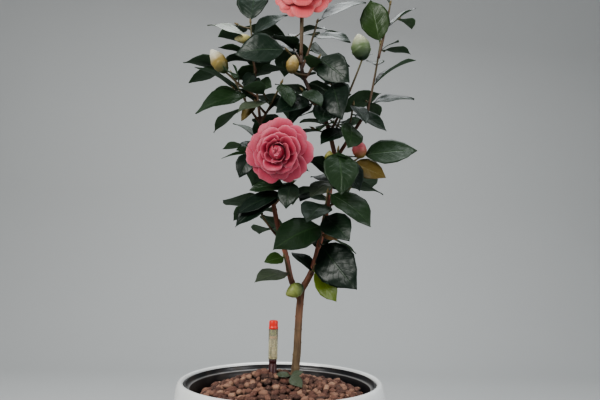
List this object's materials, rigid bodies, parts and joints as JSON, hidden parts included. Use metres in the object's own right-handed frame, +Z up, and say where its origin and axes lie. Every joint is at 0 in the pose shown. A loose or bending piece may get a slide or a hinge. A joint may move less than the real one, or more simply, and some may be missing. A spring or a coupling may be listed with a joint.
{
  "type": "camellia shrub in a pot",
  "caption": "young camellia shrub with double blooms, buds and glossy leaves on a forked trunk, in a round glazed pot of clay granules with a water gauge",
  "frame": {"origin": "middle of the pot's flat underside, where it stands on the floor", "axes": "+Z up along the plant, +X to the right and -Y toward the viewer as seen from its front"},
  "size_m": [0.3497, 0.28, 0.8612],
  "materials": {
    "pot_glaze": "glossy white",
    "liner_plastic": "satin black",
    "clay_granules": "rough fired clay",
    "gauge_collar": "satin dark red brown",
    "gauge_clear": "clear, slightly yellowed",
    "gauge_cap": "glossy red",
    "bark": "smooth tan bark",
    "leaf": "glossy dark green",
    "petal_rose": "satin rose pink",
    "petal_salmon": "satin salmon pink"
  },
  "bodies": {
    "root": {"pot": "pot_glaze", "liner": "liner_plastic", "granules": "clay_granules", "gauge_foot": "gauge_collar", "gauge_tube": "gauge_clear", "gauge_cap": "gauge_cap", "trunk": "bark", "leader_right": "bark", "leader_left": "bark", "leader_top": "bark", "bough_upper_right": "bark", "low_right": "leaf", "low_fork": "leaf", "low_left": "leaf", "below_bloom": "leaf", "mid_left": "leaf", "mid_right": "leaf", "mid_front": "leaf", "side_right": "leaf", "centre": "leaf", "centre_left": "leaf", "inner_left": "leaf", "upper_centre": "leaf", "inner_upper_left": "leaf", "upper_left": "leaf", "top": "leaf", "bud_bough": "leaf", "upper_right": "leaf", "back_low": "leaf", "back_left_low": "leaf", "back_right_low": "leaf", "back_left": "leaf", "back_right": "leaf", "back_centre": "leaf", "back_high": "leaf", "back_upper_left": "leaf", "basal_shoot": "leaf", "bloom_front": "petal_rose", "bloom_top": "petal_salmon"}
  },
  "joints": []
}
